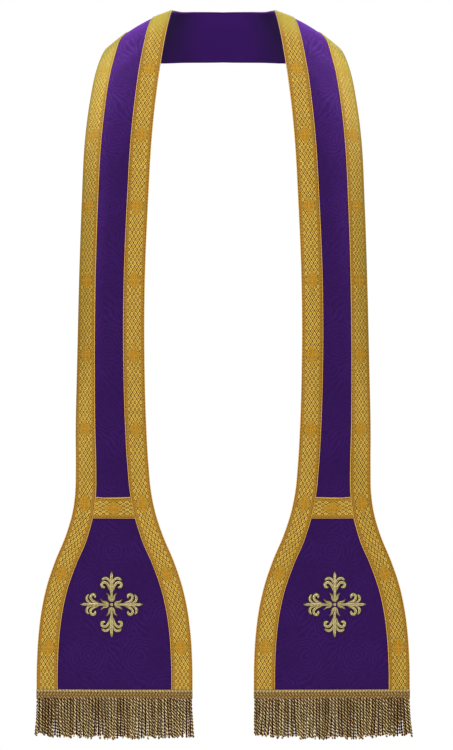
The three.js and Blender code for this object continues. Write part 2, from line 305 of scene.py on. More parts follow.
def flareAt(along):
    # how fast an edge leaves the middle, in mm for each mm along
    return (widthAt(along + nudge) - widthAt(along - nudge)) / (4 * nudge)


def shareFrom(along, distance):
    # the share that lies a distance in from the edge
    return 1 - 2 * distance / widthAt(along)


def rowStations(end, spacing):
    # rows a spacing apart from the seam to the end, none of them within 1 mm of the end
    return np.concatenate([[band["seam"]], np.arange(spacing, end - 1, spacing), [end]])[:, None]


def shellFaces(rows, frontColumns, backColumns, flip):
    # a closed thin shell: front grid, back grid, a strip down each edge and one face at each end
    def grid(start, columns, turned):
        k = start + (np.arange(rows - 1)[:, None] * columns + np.arange(columns - 1)[None, :]).ravel()
        quads = np.stack([k, k + columns, k + columns + 1, k + 1], -1)
        return quads[:, ::-1] if turned else quads
    backStart = rows * frontColumns
    frontRows = np.arange(rows - 1) * frontColumns
    backRows = backStart + np.arange(rows - 1) * backColumns
    nearStrip = np.stack([frontRows, backRows, backRows + backColumns, frontRows + frontColumns], -1)
    frontFar, backFar = frontRows + frontColumns - 1, backRows + backColumns - 1
    farStrip = np.stack([frontFar, frontFar + frontColumns, backFar + backColumns, backFar], -1)
    faces = np.concatenate([
        grid(0, frontColumns, False), grid(backStart, backColumns, True), nearStrip, farStrip])
    topEnd = list(range(frontColumns)) + list(range(backStart + backColumns - 1, backStart - 1, -1))
    lastFront, lastBack = backStart - frontColumns, backStart + (rows - 1) * backColumns
    footEnd = list(range(backStart - 1, lastFront - 1, -1)) + list(range(lastBack, lastBack + backColumns))
    everyFace = faces.tolist() + [topEnd, footEnd]
    return [face[::-1] for face in everyFace] if flip else everyFace


def joinParts(parts):
    # parts of points, uv, mark and faces made one, each part's faces counting on from the parts before it
    points, uv, mark = (np.concatenate([part[k] for part in parts]) for k in range(3))
    starts = np.cumsum([0] + [len(part[0]) for part in parts]).tolist()
    faces = [[start + index for index in face] for start, part in zip(starts, parts) for face in part[3]]
    return points, faces, uv, mark


def addShell(name, front, back, uv, material, hand, marks=None):
    # front and back are grids of points; uv and marks are given on the front grid and carried to the back
    rows, frontColumns, backColumns = front.shape[0], front.shape[1], back.shape[1]
    pick = np.round(np.linspace(0, frontColumns - 1, backColumns)).astype(int)

    def carry(values):
        onBack = values[:, pick].reshape(rows * backColumns, -1)
        return np.concatenate([values.reshape(rows * frontColumns, -1), onBack])

    points = np.concatenate([front.reshape(-1, 3), back.reshape(-1, 3)])
    faces = shellFaces(rows, frontColumns, backColumns, sides[hand] < 0)
    carried = {key: carry(value) for key, value in (marks or {}).items()}
    return meshPiece(name, points, faces, material, carry(uv), carried)


def finishPiece(piece, node):
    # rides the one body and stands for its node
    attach(piece, "root")
    if node:
        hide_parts(node)


def waveScale(pitch):
    # a wave texture's stripes repeat every tau / (20 * scale), so this scale sets them a pitch apart
    return tau / pitch / 20


# Purple silk damask, a warp-faced silk with a tone-on-tone figure. The figure lies smoother and so looks
# a shade lighter than the ribbed ground, and a painted sheen, a lighter purple mixed into the colour,
# brightens the silk where it turns away from the eye.
damask = {
    # turned is the lighter purple of the painted sheen
    "ground": "#220a3c", "figure": "#310e54", "turned": "#4b2278", "sheen": "#ac58ff",
    "roundelWide": 78, "roundelTall": 104, "ringPitch": 5.4, "ringReach": 31, "ringBlur": 2,
    "feathers": 22, "featherDepth": 0.55, "fray": 11,
    # one over the size in mm of a fray, a leaf, a rubbed patch and a slub
    "frayScale": 0.07, "leafScale": 0.055, "rubScale": 0.018, "slubScale": 0.12,
    "threadPitch": 0.9,  # real threads are 0.15 mm apart; drawn coarser so that they show
    "rowSpacing": 3, "columns": 56, "backColumns": 8, "thickness": 1.5,
}
damaskMaterial, tree, shader = newMaterial(
    "jacquard-woven silk damask", Roughness=0.6, Specular_IOR_Level=0.05,
    Sheen_Weight=0.35, Sheen_Roughness=0.5, Sheen_Tint=linear(damask["sheen"]))
cutPlace = addNode("UVMap", uv_map="cut")
halfTile = (damask["roundelWide"] / 2, damask["roundelTall"] / 2, 1)
lowTile = tuple(-edge for edge in halfTile)
# the weave is never ruler-sharp: the drawing is pushed about by a soft noise
frayNoise = addNode("TexNoise", {
    "Vector": cutPlace, "Scale": damask["frayScale"], "Detail": 2}).outputs["Color"]
frayShift = addNode("VectorMath", {0: frayNoise, 1: (0.5, 0.5, 0.5)}, "SUBTRACT")
figurePlace = addNode("VectorMath", {0: frayShift, 1: (damask["fray"],) * 3, 2: cutPlace}, "MULTIPLY_ADD")
# roundels stand in two sets of tiles, the second set half a tile across and down from the first
wrapped = addNode("VectorMath", {0: figurePlace, 1: halfTile, 2: lowTile}, "WRAP")
shifted = addNode("VectorMath", {0: figurePlace, 1: halfTile}, "ADD")
between = addNode("VectorMath", {0: shifted, 1: halfTile, 2: lowTile}, "WRAP")
farHere = addNode("VectorMath", {0: wrapped}, "LENGTH").outputs["Value"]
farThere = addNode("VectorMath", {0: between}, "LENGTH").outputs["Value"]
isHere = addNode("Math", {0: farHere, 1: farThere}, "LESS_THAN")
nearest = addNode("Mix", {0: isHere, 4: between, 5: wrapped}, "VECTOR")
reach = addNode("Math", {0: farHere, 1: farThere}, "MINIMUM")
spot = addNode("SeparateXYZ", {0: nearest})
angle = addNode("Math", {0: spot.outputs[1], 1: spot.outputs[0]}, "ARCTAN2")
featherTurn = addNode("Math", {0: angle, 1: damask["feathers"]}, "MULTIPLY")
feather = addNode("Math", {0: featherTurn}, "COSINE")
# rings whose edge is feathered: sin((reach + depth * cos(feathers * angle)) * tau / pitch)
swell = addNode("Math", {0: feather, 1: damask["featherDepth"], 2: reach}, "MULTIPLY_ADD")
ringTurn = addNode("Math", {0: swell, 1: tau / damask["ringPitch"]}, "MULTIPLY")
ring = addNode("Math", {0: ringTurn}, "SINE")
ringMark = addNode("MapRange", {0: ring, 1: -0.5, 2: 0.9}, "SMOOTHSTEP")
inRoundel = addNode("MapRange", {
    0: reach, 1: damask["ringReach"] + damask["ringBlur"], 2: damask["ringReach"] - damask["ringBlur"]},
    "SMOOTHSTEP")
figure = addNode("Math", {0: ringMark, 1: inRoundel}, "MULTIPLY")
# leaf sprays fill the field between the roundels: bent stripes from a noise-turned wave
leafWave = addNode("TexWave", {
    "Vector": cutPlace, "Scale": damask["leafScale"], "Distortion": 8, "Detail": 2, "Detail Scale": 0.8},
    "DIAGONAL").outputs["Fac"]
leafMark = addNode("MapRange", {0: leafWave, 1: 0.4, 2: 0.8}, "SMOOTHSTEP")
outside = addNode("Math", {0: 1.0, 1: inRoundel}, "SUBTRACT")
leaves = addNode("Math", {0: leafMark, 1: outside}, "MULTIPLY")
figure = addNode("Math", {0: figure, 1: leaves}, "MAXIMUM")
# the figure is plainer in some places than in others, as the silk is more or less rubbed
rubbed = addNode("TexNoise", {"Vector": cutPlace, "Scale": damask["rubScale"], "Detail": 1})
rubbed = addNode("MapRange", {0: rubbed, 1: 0.35, 2: 0.65, 3: 0.25, 4: 1.0})
figure = addNode("Math", {0: figure, 1: rubbed}, "MULTIPLY")
slub = addNode("TexNoise", {"Vector": cutPlace, "Scale": damask["slubScale"], "Detail": 4})
tone = addNode("Math", {0: slub, 1: 1.4, 2: figure}, "MULTIPLY_ADD")
toneShare = addNode("MapRange", {0: tone, 1: 0.2, 2: 2.0})
clothColour = addNode("Mix", {
    0: toneShare, 6: linear(damask["ground"]), 7: linear(damask["figure"])}, "RGBA")
# painted sheen: the colour turns to a lighter purple where the cloth turns away from the eye, the figure most
facing = addNode("LayerWeight", {"Blend": 0.5}).outputs["Facing"]
paintedSheenShare = addNode("MapRange", {0: facing, 1: 0.08, 2: 0.45})
figureShare = addNode("Math", {0: toneShare, 1: 1.1, 2: 0.3}, "MULTIPLY_ADD")
paintedSheenShare = addNode("Math", {0: paintedSheenShare, 1: figureShare}, "MULTIPLY")
clothColour = addNode("Mix", {0: paintedSheenShare, 6: clothColour, 7: linear(damask["turned"])}, "RGBA")
threads = addNode("TexWave", {
    "Vector": cutPlace, "Scale": waveScale(damask["threadPitch"]), "Distortion": 0.4},
    "Y").outputs["Fac"]
threadHeight = addNode("Math", {0: threads, 1: 0.35, 2: figure}, "MULTIPLY_ADD")
clothBump = addNode("Bump", {"Height": threadHeight, "Strength": 0.25, "Distance": 0.00012})
gloss = addNode("MapRange", {0: figure, 3: 0.66, 4: 0.52})
feedShader(shader, Base_Color=clothColour, Roughness=gloss, Normal=clothBump)

for hand in sides:
    alongs = rowStations(band["hem"], damask["rowSpacing"])
    shares = spread(damask["columns"] + 1)
    backShares = spread(damask["backColumns"] + 1)
    front = liftedPoint(alongs, shares, 0, hand)
    back = liftedPoint(alongs, backShares, -damask["thickness"], hand)
    cutUv = stacked(shares * widthAt(alongs) / 2, alongs)
    cloth = addShell(f"damask_face_{hand}", front, back, cutUv, damaskMaterial, hand)
    flat = (band["hemWidth"] * mm, band["hem"] * mm)
    finishPiece(cloth, f"face_cloth_{hand}")
print("damask face cloths ready")

# Satin lining, a plain silk satin: nearly black purple, with a long soft highlight because its threads float.
# Its colour is painted darker towards the shoulders, a painted shade for where the band closes over it.
lining = {
    "colour": "#4b1881", "paintedShadeColour": "#200a3c", "sheen": "#7a33c4", "shadeStart": 40, "shadeEnd": 100,
    "inset": 1.5, "hem": 3, "thickness": 1.0, "areaShare": 0.975, "rowSpacing": 6, "columns": 24,
    "toneScale": 0.03,  # one over the size in mm of a lighter patch
    "grain": 1.1,  # real threads are 0.1 mm apart; drawn coarser so that they show
}
satinMaterial, tree, shader = newMaterial(
    "silk satin", Roughness=0.5, Specular_IOR_Level=0.08, Sheen_Weight=0.1, Sheen_Roughness=0.35,
    Sheen_Tint=linear(lining["sheen"]))
cutPlace = addNode("UVMap", uv_map="cut")
satinToneAndShade = addNode("TexNoise", {"Vector": cutPlace, "Scale": lining["toneScale"], "Detail": 2})
satinToneAndShade = addNode("MapRange", {0: satinToneAndShade, 1: 0.2, 2: 0.8, 3: 0.44, 4: 0.58})
# painted shade: the colour is darkened along the cut towards the shoulders, over a random tone
satinAlong = addNode("SeparateXYZ", {0: cutPlace}).outputs[1]
satinPaintedShade = addNode("MapRange", {
    0: satinAlong, 1: lining["shadeStart"], 2: lining["shadeEnd"], 3: 1.0, 4: 0.1})
satinToneAndShade = addNode("Math", {0: satinToneAndShade, 1: satinPaintedShade}, "MULTIPLY")
satinColour = addNode("Mix", {
    0: satinToneAndShade, 6: linear(lining["paintedShadeColour"]), 7: linear(lining["colour"])}, "RGBA")
satinGrain = addNode("TexWave", {
    "Vector": cutPlace, "Scale": waveScale(lining["grain"]), "Distortion": 0.5},
    "X").outputs["Fac"]
satinBump = addNode("Bump", {"Height": satinGrain, "Strength": 0.12, "Distance": 0.0001})
feedShader(shader, Base_Color=satinColour, Normal=satinBump)

liningEnd = band["hem"] - lining["hem"]
for hand in sides:
    alongs = rowStations(liningEnd, lining["rowSpacing"])
    shares = spread(lining["columns"] + 1) * shareFrom(alongs, lining["inset"])
    outer = -damask["thickness"] - band["gap"]
    front = liftedPoint(alongs, shares, outer, hand)
    back = liftedPoint(alongs, shares, outer - lining["thickness"], hand)
    cutUv = stacked(shares * widthAt(alongs) / 2, alongs)
    cloth = addShell(f"satin_lining_{hand}", front, back, cutUv, satinMaterial, hand)
    flat = ((band["hemWidth"] - 2 * lining["inset"]) * mm, liningEnd * mm)
    finishPiece(
        cloth, f"lining_{hand}")
print("satin linings ready")

# Gold galloon, a metallic braid: a lattice of tall diamonds between plain borders, with a small cross at
# each repeat. Pale flattened metal thread rings each diamond and sparkles; brown silk shows between.
galloon = {
    "latticeAcross": 5.85, "latticeRun": 112 / 11, "repeat": 112, "firstCross": 968, "dot": 2.9,
    "thickness": 1.0, "relief": 0.3, "edgeRound": 0.9, "rowSpacing": 1.2, "columns": 30, "backColumns": 6,
    "edge": "#bd963c", "seam": "#74490a", "border": "#a57312", "chain": "#90701e", "line": "#573809",
    "pale": "#d4ae46", "heart": "#735911", "dull": "#7a5a12", "cross": "#b27c14", "medallion": "#80600f",
    # turned is the paler gold of the painted sheen
    "turned": "#ab9a36", "sheen": "#dce058",
    # share of the way from a lattice line to the heart of a diamond, and the colour there
    "diamondStops": ((0.0, "line"), (0.19, "line"), (0.31, "pale"), (0.54, "pale"), (0.76, "heart")),
    # the woven cross: arm lengths, half width and swell of an arm, and the rings in its corners
    "armAlong": 11.3, "armAcross": 8.2, "armHalf": 0.9, "armSwell": 1.2,
    "ringAcross": 4.6, "ringAlong": 5, "ringRadius": 1.9, "ringHalf": 0.35,
    "medallionAcross": 12, "medallionAlong": 14.5,
    # mm in from an edge: pale lip, stitched seam, plain border, chain of small loops, then the field
    "sideStops": (
        (0, "edge"), (0.9, "edge"), (1.3, "seam"), (2.3, "seam"), (2.6, "border"), (3.5, "border"),
        (3.8, "seam"), (4.3, "chain"), (5.4, "chain")),
    # the relief of the chain and of the field starts where their colours do
    "chainStart": 3.8, "fieldStart": 5.4, "sideWidth": 7, "stitchPitch": 5.4, "stitchInset": 1.9,
    "fleckScale": 0.5,  # one over the size in mm of a fleck
    "yarnPitch": 1.3,  # real yarns are 0.4 mm apart; drawn coarser so that they show
}


braidWide = band["galloonWidth"]


def crossDistance(across, run):
    # distance in mm to the woven cross: four arms that swell at their tips, and a small ring in each corner
    def arm(side, out, reachOut):
        half = galloon["armHalf"] + galloon["armSwell"] * np.clip((out / reachOut - 0.5) / 0.35, 0, 1) ** 1.5
        past, beyond = np.abs(side) - half, out - reachOut
        return np.hypot(np.maximum(past, 0), np.maximum(beyond, 0)) + np.minimum(np.maximum(past, beyond), 0)
    upright = arm(across, np.abs(run), galloon["armAlong"])
    level = arm(run, np.abs(across), galloon["armAcross"])
    corner = np.hypot(np.abs(across) - galloon["ringAcross"], np.abs(run) - galloon["ringAlong"])
    ring = np.abs(corner - galloon["ringRadius"]) - galloon["ringHalf"]
    return np.minimum(np.minimum(upright, level), ring)


def galloonRelief(across, run):
    # height over the ground: diamonds sqrt(|sin(pi a) sin(pi b)|) with a, b = across / width +- run / length,
    # raised plain borders, small loops beside them, a round fall at each edge and the cross on its medallion
    fromEdge = np.minimum(across, braidWide - across)
    centred = across - braidWide / 2
    nearRun = run - galloon["repeat"] * np.round(run / galloon["repeat"])
    crossFar = crossDistance(centred, nearRun)
    medallion = np.abs(centred) / galloon["medallionAcross"] + np.abs(nearRun) / galloon["medallionAlong"]
    medallion = (medallion - 1) * 9  # about the millimetres to its slanted edge
    first = centred / galloon["latticeAcross"] + run / galloon["latticeRun"]
    second = centred / galloon["latticeAcross"] - run / galloon["latticeRun"]
    field = np.sqrt(np.abs(np.sin(np.pi * first) * np.sin(np.pi * second)))
    field = np.where(medallion < 0, 0.3 + 0.6 * (crossFar < 0), field)
    loops = 0.35 + 0.5 * np.abs(np.sin(np.pi * run / galloon["dot"]))
    field = np.where(fromEdge < galloon["fieldStart"], loops, field)
    onBorder = np.clip((galloon["chainStart"] - fromEdge) / 0.5, 0, 1)
    height = galloon["relief"] * (field * (1 - onBorder) + 0.8 * onBorder)
    seamLine = np.exp(-((fromEdge - galloon["stitchInset"]) / 0.5) ** 2)
    edgeFall = 0.45 * np.clip(1 - fromEdge / galloon["edgeRound"], 0, 1) ** 2
    return height - 0.16 * seamLine - edgeFall, np.clip(crossFar, -3, 3), np.clip(medallion, -3, 3)


galloonMaterial, tree, shader = newMaterial(
    "woven metallic galloon", Metallic=0.35, Roughness=0.42, Specular_IOR_Level=0.2,
    Sheen_Weight=0.35, Sheen_Roughness=0.45, Sheen_Tint=linear(galloon["sheen"]))
cutPlace = addNode("UVMap", uv_map="cut")
spot = addNode("SeparateXYZ", {0: cutPlace})
across, run = spot.outputs[0], spot.outputs[1]
half = braidWide / 2


def latticeLine(acrossPitch, runPitch):
    # distance to the nearest line of a diamond lattice, 0 on a line and 0.5 in the heart of a diamond
    overAcross = addNode("Math", {0: across, 1: half}, "SUBTRACT")
    overAcross = addNode("Math", {0: overAcross, 1: acrossPitch}, "DIVIDE")
    overRun = addNode("Math", {0: run, 1: runPitch}, "DIVIDE")
    nearBy, step = [], []
    for operation in ("ADD", "SUBTRACT"):
        diagonal = addNode("Math", {0: overAcross, 1: overRun}, operation)
        nearBy.append(addNode("Math", {0: diagonal, 1: 0.5}, "PINGPONG"))
        step.append(addNode("Math", {0: diagonal}, "FLOOR"))
    nearest = addNode("Math", {0: nearBy[0], 1: nearBy[1]}, "MINIMUM")
    return nearest, addNode("CombineXYZ", {0: step[0], 1: step[1]})


nearLine, cell = latticeLine(galloon["latticeAcross"], galloon["latticeRun"])
lineShare = addNode("Math", {0: nearLine, 1: 2.0}, "MULTIPLY")
diamondStops = [(place, galloon[name]) for place, name in galloon["diamondStops"]]
diamondColour = addNode("ValToRGB", {0: lineShare}, stops=diamondStops)
# some diamonds are duller than others, and all are flecked
cellTone = addNode("TexWhiteNoise", {0: cell})
fleck = addNode("TexNoise", {"Vector": cutPlace, "Scale": galloon["fleckScale"], "Detail": 3})
dulling = addNode("Math", {0: cellTone, 1: 0.35, 2: fleck}, "MULTIPLY_ADD")
dullMark = addNode("MapRange", {0: dulling, 1: 0.52, 2: 0.85, 4: 0.3})
diamondColour = addNode("Mix", {0: dullMark, 6: diamondColour, 7: linear(galloon["dull"])}, "RGBA")
dotLine, _ = latticeLine(galloon["dot"], galloon["dot"] * 1.25)
dotMark = addNode("MapRange", {0: dotLine, 1: 0.15, 2: 0.35}, "SMOOTHSTEP")
fleckMark = addNode("MapRange", {0: fleck, 1: 0.35, 2: 0.6})
mottle = addNode("Math", {0: dotMark, 1: fleckMark}, "MULTIPLY")
medallionColour = addNode("Mix", {
    0: mottle, 6: linear(galloon["medallion"]), 7: linear(galloon["pale"])}, "RGBA")
medallionFar = addNode("Attribute", attribute_name="medallion").outputs["Fac"]
medallionMark = addNode("MapRange", {0: medallionFar, 1: 0.7, 2: -0.7}, "SMOOTHSTEP")
fieldColour = addNode("Mix", {0: medallionMark, 6: diamondColour, 7: medallionColour}, "RGBA")
crossFar = addNode("Attribute", attribute_name="cross").outputs["Fac"]
crossMark = addNode("MapRange", {0: crossFar, 1: 0.4, 2: -0.2, 4: 0.85}, "SMOOTHSTEP")
fieldColour = addNode("Mix", {0: crossMark, 6: fieldColour, 7: linear(galloon["cross"])}, "RGBA")
fromEdge = addNode("Math", {0: across, 1: half}, "PINGPONG")
edgeShare = addNode("Math", {0: fromEdge, 1: galloon["sideWidth"]}, "DIVIDE")
sideColour = addNode("ValToRGB", {0: edgeShare}, stops=[
    (place / galloon["sideWidth"], galloon[name]) for place, name in galloon["sideStops"]])
# the sewing thread pulls in at every stitch and leaves a dimple between two stitches, which is painted dark
# as a painted shade in that hollow
stitchTurn = addNode("Math", {0: run, 1: galloon["stitchPitch"] / 2}, "PINGPONG")
dimpleShade = addNode("MapRange", {0: stitchTurn, 1: 0.5, 2: 1.3, 3: 0.8, 4: 0.0})
onSeam = addNode("MapRange", {0: fromEdge, 1: 3.2, 2: 2.6})
offLip = addNode("MapRange", {0: fromEdge, 1: 0.8, 2: 1.2})
dimpleShade = addNode("Math", {0: dimpleShade, 1: onSeam}, "MULTIPLY")
dimpleShade = addNode("Math", {0: dimpleShade, 1: offLip}, "MULTIPLY")
sideColour = addNode("Mix", {0: dimpleShade, 6: sideColour, 7: linear(galloon["line"])}, "RGBA")
loopTurn = addNode("Math", {0: run, 1: galloon["dot"] / 2}, "PINGPONG")
loopMark = addNode("MapRange", {0: loopTurn, 1: 0.9, 2: 0.3, 4: 0.5})
onChain = addNode("MapRange", {0: fromEdge, 1: galloon["chainStart"], 2: galloon["chainStart"] + 0.6})
loopMark = addNode("Math", {0: loopMark, 1: onChain}, "MULTIPLY")
sideColour = addNode("Mix", {0: loopMark, 6: sideColour, 7: linear(galloon["seam"])}, "RGBA")
fieldShare = addNode("MapRange", {
    0: fromEdge, 1: galloon["fieldStart"] - 0.3, 2: galloon["fieldStart"] + 0.3})
braidColour = addNode("Mix", {0: fieldShare, 6: sideColour, 7: fieldColour}, "RGBA")
# painted sheen: the colour turns to a paler gold where the braid turns away from the eye, over the shoulder
braidFacing = addNode("LayerWeight", {"Blend": 0.5}).outputs["Facing"]
braidPaintedSheen = addNode("MapRange", {0: braidFacing, 1: 0.25, 2: 0.55, 4: 0.6})
braidColour = addNode("Mix", {0: braidPaintedSheen, 6: braidColour, 7: linear(galloon["turned"])}, "RGBA")
yarn = addNode("TexWave", {
    "Vector": cutPlace, "Scale": waveScale(galloon["yarnPitch"]), "Distortion": 1.2, "Detail": 1},
    "Y").outputs["Fac"]
braidBump = addNode("Bump", {"Height": yarn, "Strength": 0.5, "Distance": 0.0002})
braidGloss = addNode("MapRange", {0: crossMark, 3: 0.38, 4: 0.6})
feedShader(shader, Base_Color=braidColour, Roughness=braidGloss, Normal=braidBump)

runStations = np.linspace(0, band["hem"], 2001)


def galloonShareAt(along, edge, inward):
    # share at a part of the braid's width in from the cloth's edge, kept square to that edge where it flares
    whole = braidWide * np.hypot(1, flareAt(along))
    return edge * (1 - inward * (1 - shareFrom(along, whole)))


def runAt(along, edge):
    # length along the braid's middle, counted from the middle of its first cross
    middle = facePoint(runStations, galloonShareAt(runStations, edge, 0.5))
    length = np.concatenate([[0], np.cumsum(np.linalg.norm(np.diff(middle, axis=0), axis=1))])
    return np.interp(along, runStations, length) - np.interp(galloon["firstCross"], runStations, length)


def addBraid(name, node, hand, front, back, uv, marks):
    # finishes one length of galloon, laid on its face cloth
    piece = addShell(f"{name}_{hand}", front, back, uv, galloonMaterial, hand, marks)
    finishPiece(piece, f"{node}_{hand}")


braidGround = band["gap"] + galloon["thickness"] - galloon["relief"] * 0.5


def addGalloon(name, node, hand, edge, start, end):
    rowCount = int(round((end - start) / galloon["rowSpacing"]))
    alongs = np.linspace(start, end, rowCount + 1)[:, None]
    inward = np.linspace(0, 1, galloon["columns"] + 1)[None, :]
    backInward = np.linspace(0, 1, galloon["backColumns"] + 1)[None, :]
    if edge > 0:  # shares have to grow across the grid, so the outer braid starts at its inner side
        inward, backInward = inward[:, ::-1], backInward[:, ::-1]
    # off the braid's middle a row lags or leads by flare * distance, which keeps the pattern square
    run = runAt(alongs, edge) - flareAt(alongs) * (inward - 0.5) * braidWide
    relief, cross, medallion = galloonRelief(inward * braidWide + 0 * run, run)
    front = liftedPoint(alongs, galloonShareAt(alongs, edge, inward), braidGround + relief, hand)
    back = liftedPoint(alongs, galloonShareAt(alongs, edge, backInward), band["gap"], hand)
    uv = stacked(inward * braidWide, run)
    length = float(np.ptp(runAt(alongs, edge))) * mm
    addBraid(name, node, hand, front, back, uv, {"cross": cross, "medallion": medallion})
    return length


# Topstitching in mercerised sewing thread, a shade browner than the braid it holds down.
stitch = {
    "colour": "#8f6a22", "radius": 0.32, "reach": 2.1, "rise": 0.1, "sink": 0.45, "rings": 5, "corners": 5,
}
stitchMaterial, _, _ = newMaterial(
    "polyester sewing thread", Base_Color=linear(stitch["colour"]), Roughness=0.5)


def stitchPoints(hand, edge, start, end):
    # one stitch: a thread laid along the braid, sinking into it at both ends, as rings of a small tube
    pitch = galloon["stitchPitch"]
    count = int((runAt(end, edge) - runAt(start, edge)) / pitch) - 1
    runs = (np.ceil(runAt(start, edge) / pitch) + np.arange(count) + 0.5) * pitch
    middle = np.interp(runs, runAt(runStations, edge), runStations)[:, None, None, None]
    inset = galloon["stitchInset"] / braidWide
    place = np.array([inset, 1 - inset])[None, :, None, None]
    step = np.linspace(-1, 1, stitch["rings"])[None, None, :, None]
    corner = (np.arange(stitch["corners"]) / stitch["corners"] * tau)[None, None, None, :]
    radius = stitch["radius"] * np.sqrt(np.clip(1.02 - step ** 2, 0.05, 1))
    top = band["gap"] + galloon["thickness"] + stitch["rise"]
    lift = top - stitch["sink"] * step ** 2 + radius * np.sin(corner)
    share = galloonShareAt(middle, edge, place + radius * np.cos(corner) / braidWide)
    return liftedPoint(middle + stitch["reach"] * step, share, lift, hand).reshape(-1, 3)


def tubeFaces(count, rings, corners, flip):
    # quads round each tube from ring to ring, and one face over each end
    tube = np.arange(count)[:, None, None] * rings * corners
    ringStart = np.arange(rings - 1)[None, :, None] * corners
    here, beside = np.arange(corners)[None, None, :], (np.arange(corners)[None, None, :] + 1) % corners
    a, b = tube + ringStart + here, tube + ringStart + beside
    quads = np.stack([a, a + corners, b + corners, b], -1).reshape(-1, 4)
    first = np.arange(count)[:, None] * rings * corners + np.arange(corners)[None, :]
    last = first[:, ::-1] + (rings - 1) * corners
    faces = quads.tolist() + first.tolist() + last.tolist()
    return [face[::-1] for face in faces] if flip else faces


crossBand = {"rows": 28, "columns": 82, "backColumns": 12}
for hand in sides:
    upper, foot = band["crossBandFoot"] - band["gap"] / 2, band["headingTop"] - band["gap"]
    lengths = [
        addGalloon("inner_braid", "inner_galloon", hand, -1, band["seam"], foot),
        addGalloon("outer_braid", "outer_galloon", hand, 1, band["seam"], upper),
        addGalloon("spade_braid", "spade_galloon", hand, 1, upper + band["gap"], foot),
    ]
    # the cross band: the same braid turned across, its top edge sagging by sag * (1 - share^2)
    rows = np.linspace(0, 1, crossBand["rows"])[:, None]
    shares = spread(crossBand["columns"])
    level = band["crossBandTop"] + (band["crossBandFoot"] - band["crossBandTop"]) * rows

    def bandPoint(across, lift):
        braidShare = shareFrom(level, braidWide * np.hypot(1, flareAt(level)))
        share = across * (braidShare - 2 * band["gap"] / widthAt(level))
        along = level + band["crossBandSag"] * (1 - across ** 2) * (1 - rows)
        return liftedPoint(along, share, lift, hand), share * widthAt(level) / 2
    flatAcross = braidWide * rows + 0 * shares
    _, flatRun = bandPoint(shares, 0)
    relief, cross, medallion = galloonRelief(flatAcross, flatRun)
    front, _ = bandPoint(shares, braidGround + relief)
    back, _ = bandPoint(spread(crossBand["backColumns"]), band["gap"])
    addBraid("cross_braid", "cross_band", hand, front, back, np.stack([flatAcross, flatRun], -1),
             {"cross": cross, "medallion": medallion})
    stitches = np.concatenate([stitchPoints(hand, edge, band["seam"], foot) for edge in (-1, 1)])
    rings, corners = stitch["rings"], stitch["corners"]
    stitchFaces = tubeFaces(len(stitches) // (rings * corners), rings, corners, sides[hand] > 0)
    stitching = meshPiece(f"topstitching_{hand}", stitches, stitchFaces, stitchMaterial)
    finishPiece(stitching, None)

# Embroidered cross in padded satin stitch of antique gold thread: rounded strokes laid in ropes, pale on
# their crowns and painted brown at their edges as a painted shade, couched round with a cord that is dark
# partly as its thread and partly as painted shade.
embroidery = {
    "along": 1119, "out": 4, "height": 1.6, "crown": 0.7, "bead": 2.6, "beadRings": 6, "beadCorners": 16,
    "lengthSteps": 6, "columns": 8, "cord": 0.8, "cordHeight": 0.5,
    "pale": "#d2c288", "deep": "#5c4820", "outline": "#25170a",
    "ropePitch": 2.1, "threadPitch": 1.9,  # real threads are 0.3 mm apart; drawn coarser so that they show
    "patchScale": 0.4,  # one over the size in mm of a duller patch
    # how far each arm reaches, for the upper, right, lower and left arm
    "armReach": (1, 0.95, 1, 0.95),
}
# one arm pointing up: strokes of side, rise and half width; twins are worked on both sides
armStrokes = [
    (False, [(0, 3.4, 1.2), (0, 6, 2.1), (0, 13, 1.9), (0, 21, 2.6), (0, 30, 4), (0, 36, 2.4),
             (0, 41.5, 2.9), (0, 49.5, 0.4)]),
    (True, [(1.8, 20, 1.1), (4.1, 27.2, 2.1), (7.5, 32.2, 2.5), (11.6, 33.2, 2.5), (14.6, 30.8, 2.5),
            (14.4, 27.4, 2.6), (11.6, 26.2, 2.5), (10.8, 27.6, 1.3)]),
    (True, [(1.4, 30, 1.1), (3.8, 36.4, 2), (7.4, 39.2, 2.3), (11.4, 38.8, 2.2), (14.8, 36.2, 1)]),
    (True, [(1.6, 4.6, 1.2), (3.3, 8.6, 1.8), (4.4, 13.2, 1.4), (8.2, 17.4, 0.4)]),
]

threadMaterial, tree, shader = newMaterial(
    "padded antique gold embroidery", Metallic=0.45, Roughness=0.34, Specular_IOR_Level=0.5)
cutPlace = addNode("UVMap", uv_map="cut")
edgeness = addNode("Attribute", attribute_name="edge").outputs["Fac"]
threadWave = addNode("TexWave", {
    "Vector": cutPlace, "Scale": waveScale(embroidery["threadPitch"]), "Distortion": 2, "Detail": 1},
    "Y").outputs["Fac"]
# strokes are laid in ropes side by side; the furrow between two ropes is painted brown, a painted shade
ropeFurrowShade = addNode("TexWave", {
    "Vector": cutPlace, "Scale": waveScale(embroidery["ropePitch"]), "Distortion": 0.6},
    "X").outputs["Fac"]
threadPatch = addNode("TexNoise", {"Vector": cutPlace, "Scale": embroidery["patchScale"], "Detail": 2})
# the colour mixes the thread waves, the painted shade of the furrows and a random patch tone
threadToneAndShade = addNode("Math", {0: threadWave, 1: 0.2, 2: threadPatch}, "MULTIPLY_ADD")
threadToneAndShade = addNode("Math", {0: ropeFurrowShade, 1: 0.6, 2: threadToneAndShade}, "MULTIPLY_ADD")
threadToneAndShade = addNode("MapRange", {0: threadToneAndShade, 1: 0.7, 2: 1.18})
threadColour = addNode("Mix", {
    0: threadToneAndShade, 6: linear(embroidery["deep"]), 7: linear(embroidery["pale"])}, "RGBA")
